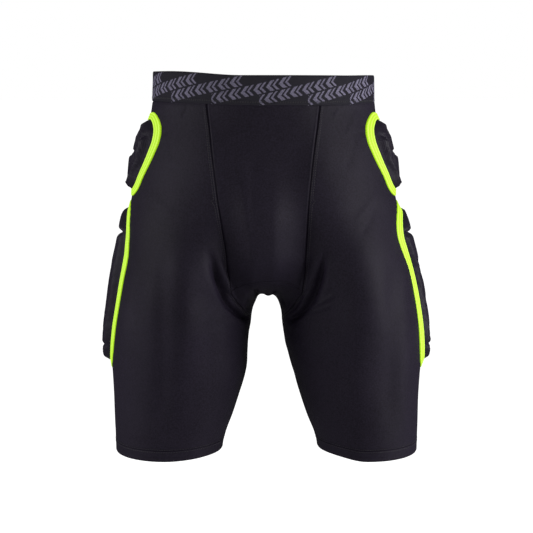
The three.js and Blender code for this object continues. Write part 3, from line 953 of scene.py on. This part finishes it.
def make_height(pad):
    """The cover's height over a 1 mm grid: cloth drawn tight over the foam blocks and down to the tape."""
    path, inside, pocket = pad["path"], pad["inside"], foam_pocket(pad)
    (u0, z0), (u1, z1) = path.min(0) - 4, path.max(0) + 4
    us, zs = np.arange(u0, u1), np.arange(z0, z1)
    u, z = spread(us, zs)
    free = depth_inside(inside[::3], u, z) > 0
    blocks = np.full(u.shape, COVER_RIM)
    in_pocket = depth_inside(pocket[::3], u, z)
    level = z - pad["groove_rise"](u)
    for top, bottom, high_share, low_share in pad["foams"].values():
        from_cut = np.minimum(top - level, level - bottom)
        share = np.clip(np.minimum(in_pocket / FOAM_ROUND, from_cut / CUT_ROUND), 0, 1)
        slope = high_share + (low_share - high_share) * smooth_step((top - level) / min(top - bottom, 34))
        blocks = np.maximum(blocks, COVER_RIM + pad["bulge"] * slope * np.sqrt(1 - (1 - share) ** 2))
    height = blocks.copy()
    for step in range(TIGHTEN + SOFTEN):
        across = np.roll(height, 1, 0) + np.roll(height, -1, 0)
        mean = (across + np.roll(height, 1, 1) + np.roll(height, -1, 1)) / 4
        height = np.where(free, np.maximum(mean, blocks) if step < TIGHTEN else mean, COVER_RIM)
    for middle_z, depth, width in pad["grooves"]:
        groove = depth * hump(level, middle_z, width) * smooth_step(in_pocket / 5)
        height = np.maximum(height - groove, COVER_RIM)
    return us, zs, height


def sample(field, u, z):
    us, zs, height = field
    i = np.clip(u - us[0], 0, len(us) - 1.001)
    j = np.clip(z - zs[0], 0, len(zs) - 1.001)
    a, b = np.floor(i).astype(int), np.floor(j).astype(int)
    s, t = i - a, j - b
    near = height[a, b] * (1 - s) + height[a + 1, b] * s
    far = height[a, b + 1] * (1 - s) + height[a + 1, b + 1] * s
    return near * (1 - t) + far * t


def inward_rings(loop, insets, scales):
    centre = loop.mean(0)
    rings = [grow(loop, -d) for d in insets]
    last = rings[-1]
    return rings + [centre + (last - centre) * s for s in scales]


COVER_CELL = 2.0
COVER_FRAMES = 20
COVER_RISE = 1.5  # the simulation may move a cover's points this far out, and a little way in
COVER_FALL = 0.9
COVER_SLIDE = 1.0  # and this far along the surface
CLOTH_SETTINGS = dict(quality=6, mass=0.2, vertex_group_mass="sewn", tension_stiffness=12,
                      compression_stiffness=12, shear_stiffness=4, bending_stiffness=0.04, use_pressure=True,
                      uniform_pressure_force=3, shrink_min=-0.02)


def pad_sheet(title, pad, height, sign, cell, thickness):
    """A sheet over a pad's whole outline, as an even grid whose ragged edge lies hidden under the tape."""
    (u0, z0), (u1, z1) = pad["path"].min(0), pad["path"].max(0)
    u, z = spread(np.arange(u0, u1 + cell, cell), np.arange(z1, z0 - cell, -cell))
    depth = depth_inside(pad["path"][::3], u, z)
    grid = pad["wall"](u, z, height(u, z, depth))
    uv = np.stack([u, z], -1) * MM
    inside = body_middle if pad["wall"] is back_wall else leg_axis
    keep = cell_centres(depth) > 1.5
    return grid_sheet(title, grid, sign, uv=uv, keep=keep, thickness=thickness, inside=inside)


def make_pad(name, pad, prefix, side, body, covers):
    wall, path, inside = pad["wall"], pad["path"], pad["inside"]
    sign = SIDES.get(side, 1)
    title = f"{prefix}{name}"
    place = dict(side=side) if side else dict(body=body)
    field = pad["field"]
    axis = body_middle if wall is back_wall else leg_axis

    def cover_height(u, z, depth):
        rim = 0.2 + COVER_RIM * smooth_step((depth - 2) / (TAPE_WIDTH / 2 - 2))
        return np.where(depth < TAPE_WIDTH / 2, rim, sample(field, u, z) + creases(pad, u, z, depth, sign))

    cover = pad_sheet(title + "_pad_cover", pad, cover_height, sign, COVER_CELL, 1.2)
    covers.append((cover, pad, title, place))

    # tape: three ridges across its width, tilted up towards the pad
    across = np.linspace(0, 1, 25)
    ridge = 0.75 + 0.55 * np.abs(np.sin(3 * math.pi * across)) ** 0.7
    edge = np.minimum(1, np.minimum(across, 1 - across) / 0.05)
    lift = pad["lift"].get(sign, 1.5)
    lines = []
    for s, h in zip(across, ridge * edge):
        line = grow(path, (s - 0.5) * TAPE_DRAWN)
        tilt = lift * (1 - s) * smooth_step((20 - line[:, 0]) / 40)
        lines.append(wall(line[:, 0], line[:, 1], 0.2 + h + 0.8 * (1 - s) + tilt))
    grid = np.array(lines)
    perimeter = np.linalg.norm(np.roll(path, -1, 0) - path, axis=1).sum()
    periods = np.round(perimeter / TAPE_WIDTH)
    along = periods * np.arange(len(path)) / len(path)
    uv = np.stack([across[:, None] + 0 * along[None, :], along[None, :] + 0 * across[:, None]], -1)
    tape = grid_sheet(title + "_tape", grid, sign, True, uv, thickness=1.2, inside=axis, wrap=(1, periods))
    ribbon = (1.2 * TAPE_WIDTH * MM, perimeter * MM)
    finish_piece(tape, LIME_TAPE_WITH_PAINTED_LIGHT, "lime_tape", [title + "_tape"], sheet=ribbon, **place)

    backing = pad_sheet(title + "_pad_backing", pad, lambda u, z, depth: -1.6 + 0 * u, sign, 5, 0.8)
    cut = tuple(np.ptp(path, 0) * MM)
    finish_piece(backing, LINING, "lining_mesh", [title + "_pad_backing"], sheet=cut, **place)

    pocket = grow(foam_pocket(pad), -1)
    for foam, (top, bottom, _, _) in pad["foams"].items():
        block = respaced(between(pocket[::3], top, bottom), 120)
        loops = inward_rings(block, [0, 0.4, 1.2, 2.5], np.linspace(0.9, 0.01, 7))
        rim = np.array([2.6, 1.2, 0.5, 0.1] + [0] * 7)
        tops = [np.maximum(sample(field, l[:, 0], l[:, 1]) - 2.8 - r, 0.6) for l, r in zip(loops, rim)]
        piece = foam_solid(f"{title}_{foam}", wall, loops, tops, -0.2, sign, axis)
        finish_piece(piece, FOAM, "foam", [f"{title}_{foam}"], padded=1.0, **place)


def foam_solid(name, wall, loops, tops, bottom, sign, inside):
    """A closed block on a wall, over rings from its outline to its middle."""
    count = len(loops[0])
    over = [wall(l[:, 0], l[:, 1], t) for l, t in zip(loops, tops)]
    under = [wall(l[:, 0], l[:, 1], bottom) for l in loops]
    points = np.vstack(over[::-1] + under) * (sign, 1, 1)
    rows = len(over) + len(under)
    faces = grid_faces(rows, count, True)
    turned = facing_out(points, faces[: len(faces) // 2], inside)[0][0] != faces[0][0]
    caps = [list(range(count))[::-1], [(rows - 1) * count + i for i in range(count)]]
    every = [list(f) for f in faces] + caps
    return make_mesh(name, points, [f[::-1] if turned else f for f in every])


def creases(pad, u, z, depth, sign):
    """Long, shallow creases where the cover is drawn over the foam's edge, beside the front of the tape."""
    front = smooth_step((30 - u) / 40)
    sway = 1.6 * np.sin(z / 9 + u / 17) + 0.8 * np.sin(z / 4.1 + 1)
    h = 0 * u
    for where, width, height, phase in pad["creases"]:
        fade = 0.55 + 0.45 * np.sin(z / 21 + phase)
        h = h + height * fade * hump(depth - where, sway, width)
    fine = 0.25 * np.sin(z / 2.3 + depth / 3.1 + 2 * np.sin(z / 13)) * hump(depth, 9, 5)
    return (h * front + fine) * smooth_step((depth - TAPE_WIDTH / 2) / 4)


def settle_covers(covers):
    """Lets each cover bulge and wrinkle as cloth that is sewn down under its tape and a little too large."""
    scene = bpy.context.scene
    scene.frame_start, scene.frame_end = 1, COVER_FRAMES
    for cover, pad, _, _ in covers:
        rest = mesh_points(cover)
        flat = rest[:, [0, 2]] if pad["wall"] is back_wall else rest[:, [1, 2]]
        depth = depth_inside(pad["path"][::3], flat[:, 0], flat[:, 1])
        held = cover.vertex_groups.new(name="sewn")
        for index, weight in enumerate(1 - smooth_step((depth - TAPE_WIDTH / 2 - 1) / 5)):
            held.add([index], float(weight), "REPLACE")
        cloth = cover.modifiers.new("Cloth", "CLOTH")
        cover.modifiers.move(1, 0)
        for setting, value in CLOTH_SETTINGS.items():
            setattr(cloth.settings, setting, value)
        cloth.settings.effector_weights.gravity = 0
        cloth.collision_settings.use_self_collision = False
        cloth.point_cache.frame_start, cloth.point_cache.frame_end = 1, COVER_FRAMES
        cover.modifiers["Thickness"].show_viewport = False
    for frame in range(1, COVER_FRAMES + 1):
        scene.frame_set(frame)
    graph = bpy.context.evaluated_depsgraph_get()
    for cover, _, _, _ in covers:
        rest = mesh_points(cover)
        settled = mesh_points(cover.evaluated_get(graph))
        normals = np.array([v.normal for v in cover.data.vertices])
        shift = settled - rest
        rise = (shift * normals).sum(1)
        slide = shift - rise[:, None] * normals
        slide *= np.minimum(1, COVER_SLIDE / (np.linalg.norm(slide, axis=1) + 1e-9))[:, None]
        up, down = np.maximum(rise, 0), np.minimum(rise, 0)
        rise = COVER_RISE * np.tanh(up / COVER_RISE) - COVER_FALL * np.tanh(-down / COVER_FALL)
        moved = (rest + slide + rise[:, None] * normals) * MM
        cover.modifiers.remove(cover.modifiers["Cloth"])
        cover.modifiers["Thickness"].show_viewport = True
        cover.data.vertices.foreach_set("co", moved.ravel())
        cover.data.update()
    scene.frame_set(1)


def mesh_points(piece):
    flat = np.empty(len(piece.data.vertices) * 3)
    piece.data.vertices.foreach_get("co", flat)
    return flat.reshape(-1, 3) / MM


def make_pads():
    covers = []
    for pad in PADS.values():
        pad["field"] = make_height(pad)
    for side in SIDES:
        for name in ("hip", "thigh"):
            make_pad(name, PADS[name], side + "_", side, None, covers)
    make_pad("tailbone", PADS["tailbone"], "", None, "pelvis", covers)
    settle_covers(covers)
    for cover, _, title, place in covers:
        cover.vertex_groups.clear()
        finish_piece(cover, COVER_KNIT, "pad_cover_knit", [title + "_pad_cover"], padded=0.8, **place)


# ---------------------------------------------------------------- waistband, hems and trim


def waist_points(z, angle, out):
    depth = np.where(np.sin(angle) > 0, front_y(z), back_y(z))
    return np.stack([(outer_x(z) + out) * np.cos(angle), -(depth + out) * np.sin(angle), z], -1)


STITCHED_ROWS = (-6, -7)  # of the waistband's grid, counted from its lower edge


def make_waistband():
    angle = -math.pi / 2 - np.linspace(0, 2 * math.pi, 480, endpoint=False)
    tall = -WAISTBAND_BOTTOM
    near_edge = np.array([0, 0.3, 0.9, 1.8])
    drops = np.concatenate([near_edge, np.linspace(3, tall - 3, 30), tall - near_edge[::-1]])
    edge = np.minimum(drops, tall - drops)
    out = 0.5 - 0.9 * np.exp(-edge / 0.9)
    front_dip = 4.2 * smooth_step((np.cos(angle) + 0.85) / 0.85)
    back_dip = 6.0 * smooth_step((np.cos(angle) + 0.9) / 0.7)
    dip = back_dip + (front_dip - back_dip) * smooth_step(np.sin(angle) + 0.5)
    z, a = spread(-drops, angle)
    wave = 0.5 * np.sin(3 * a + z / 30) + 0.35 * np.sin(7 * a + 1)
    grid = waist_points(z, a, out[:, None] + wave * np.minimum(-z / 20, 1))
    grid[..., 2] -= dip[None, :] * (1 - drops[:, None] / tall * 0.25)
    step = np.linalg.norm(np.roll(grid[20], -1, 0) - grid[20], axis=1)
    length = step.sum()
    repeats = round(length / MOTIF_PITCH)
    run = np.concatenate([[0], np.cumsum(step)[:-1]]) * repeats * MOTIF_PITCH / length
    uv = np.stack([run[None, :] * MM + 0 * z, (tall - drops)[:, None] * MM + 0 * z], -1)
    wrap = (0, repeats * MOTIF_PITCH * MM)
    band = grid_sheet("waistband", grid, looped=True, uv=uv, thickness=1.8, inside=waist_axis, wrap=wrap)
    thickness = band.modifiers["Thickness"]
    thickness.material_offset = thickness.material_offset_rim = 1
    for material in (ELASTIC, ELASTIC_BACK):
        band.data.materials.append(material)
    finish_piece(band, ELASTIC, "elastic_band", ["waistband"], body="pelvis", sheet=(0.72, 0.038))
    rows = []
    for row in STITCHED_ROWS:
        line = np.vstack([grid[row], grid[row, :1]])
        away = line * (1, 1, 0) / np.linalg.norm(line[:, :2], axis=1)[:, None]
        rows.append((line, line + away))
    threads = stitch_mesh("waistband_thread", rows)
    finish_piece(threads, THREAD, "black_stretch_knit", body="pelvis")


HEM_CUT = (0.40, 0.023)
GRIPPER_CUT = (0.40, 0.015)
HEM_RADIUS = 68  # for the knit's scale round the hem


def make_hems():
    angle = np.linspace(0, 2 * math.pi, 300, endpoint=False)
    around = np.append(angle, 0)
    tall, hidden = HEM_TOP - HEM_BOTTOM, HEM_TOP - HEM_LINE
    line_drops = hidden + np.array([0, 0.3, 0.7, 1.2, 2.0])
    drops = np.concatenate([np.linspace(0, hidden - 1, 5), line_drops, np.linspace(hidden + 3, tall - 2, 9),
                            tall - np.array([1.2, 0.6, 0.2, 0])])
    out = 0.1 - 1.35 * hump(np.maximum(drops - hidden, 0), 0, 0.7) - 0.7 * hump(tall - drops, 0, 0.8)
    gripper_drops = np.linspace(4, tall - 5, 40)
    beads = 0.45 * np.abs(np.sin((gripper_drops - 4) / (tall - 9) * math.pi * 4))
    for side, sign in SIDES.items():
        leg = f"{side}_leg"
        z, a = spread(HEM_TOP - drops, angle)
        uv = np.stack([a * HEM_RADIUS * MM, z * MM], -1)
        band = grid_sheet(f"{side}_hem_band", skin(z, a, out[:, None] + 0 * a), sign, True, uv, thickness=1.1)
        finish_piece(band, KNIT, "black_stretch_knit", [f"{side}_hem_band"], body=leg, sheet=HEM_CUT)
        rows = []
        for above in ABOVE_HEM:
            level = np.full_like(around, HEM_BOTTOM + above)
            rows.append([skin(level, around, out_by) * (sign, 1, 1) for out_by in (0.2, 1.2)])
        threads = stitch_mesh(f"{side}_hem_thread", rows)
        finish_piece(threads, THREAD, "black_stretch_knit", body=leg)
        z, a = spread(HEM_TOP - gripper_drops, angle)
        grid = skin(z, a, -2.5 - beads[:, None] + 0 * a)
        gripper = grid_sheet(f"{side}_hem_gripper", grid, sign, True, thickness=0.4)
        finish_piece(gripper, SILICONE, "silicone", [f"{side}_hem_gripper"], body=leg, sheet=GRIPPER_CUT)


def make_trim():
    rows = [(z, False) for z in GUSSET_ROWS[6:]] + [(z, True) for z in GUSSET_ROWS[-2:5:-1]]
    across = np.linspace(-0.8, 0.8, 30)
    lines = []
    for z, back in rows:
        heights = np.full_like(across, z)
        flat = middle(heights, back, across)
        lines.append(middle(heights, back, across, relief(flat) - 2.6))
    grid = np.array(lines)
    lining = grid_sheet("gusset_lining", grid, thickness=0.8, inside=body_middle)
    finish_piece(lining, LINING, "lining_mesh", ["gusset_lining"], body="pelvis", sheet=(0.065, 0.16))

    label_low, label_high = low("care_label"), high("care_label")
    u = np.linspace(label_low[0], label_high[0], 24)
    v = np.linspace(label_high[2], label_low[2], 26)
    x, z = np.meshgrid(u, v)
    y = (label_low[1] + label_high[1]) / 2 + 0.5 * np.sin((z - v[0]) / 11) * (v[0] - z) / 34
    label = grid_sheet("care_label", np.stack([x, y, z], -1), thickness=0.35, inside=body_middle)
    finish_piece(label, SATIN, "label_satin", ["care_label"], body="pelvis", sheet=(0.028, 0.034))


# ---------------------------------------------------------------- camera, light and floor

AMBIENT = 0.28  # the studio's own brightness, against the white backdrop that the camera sees
LENS = 97.95
EYE = Vector((1.3, -1900, 20)) * MM
AIM = Vector((1.3, 0, -256)) * MM
FLOOR = -0.95  # metres below the waist
FLOOR_HALF = 30
LIT = Vector((0, 0, -0.25))
LIGHTS = (  # name, place in metres, watts
    ("key_right", (2.1, -0.62, -0.05), 62),
    ("key_left", (-2.1, -0.45, 0.1), 35),
    ("front_fill", (-0.9, -2.0, -0.7), 6.5),
)


def turn_to(thing, place, target):
    thing.location = place
    thing.rotation_mode = "QUATERNION"
    thing.rotation_quaternion = (target - thing.location).to_track_quat("-Z", "Y")


def make_stage():
    scene = bpy.context.scene
    scene.view_settings.view_transform = "Standard"
    camera = add_object("Camera", bpy.data.cameras.new("Camera"))
    scene.camera = camera
    camera.data.lens = LENS
    camera.data.sensor_width = 36
    camera.data.clip_end = 100
    turn_to(camera, EYE, AIM)

    mesh = bpy.data.meshes.new("floor")
    corners = [(x * FLOOR_HALF, y * FLOOR_HALF, 0) for x, y in ((-1, -1), (1, -1), (1, 1), (-1, 1))]
    mesh.from_pydata(corners, [], [(0, 1, 2, 3)])
    floor = add_object("floor", mesh)
    floor.location.z = FLOOR
    material, tree, shader = new_material("studio_floor", (0.4, 0.4, 0.4), 0.9)
    shader.inputs["Emission Color"].default_value = (1, 1, 1, 1)
    seen = tree.add("LightPath").outputs["Is Camera Ray"]
    tree.link(tree.math("MULTIPLY", seen, 0.97), shader.inputs["Emission Strength"])
    mesh.materials.append(material)

    world = bpy.data.worlds.new("studio")
    scene.world = world
    tree = Tree(world)
    backdrop = tree.nodes["Background"]
    backdrop.inputs["Color"].default_value = (1, 1, 1, 1)
    seen = tree.add("LightPath").outputs["Is Camera Ray"]
    tree.link(tree.math("MULTIPLY_ADD", seen, 1 - AMBIENT, AMBIENT), backdrop.inputs["Strength"])

    for name, place, watts in LIGHTS:
        light = bpy.data.lights.new(name, "AREA")
        light.size = 1.0
        light.energy = watts
        turn_to(add_object(name, light), place, LIT)


make_stage()
make_panels()
make_seam_stitches()
make_pads()
make_waistband()
make_hems()
make_trim()
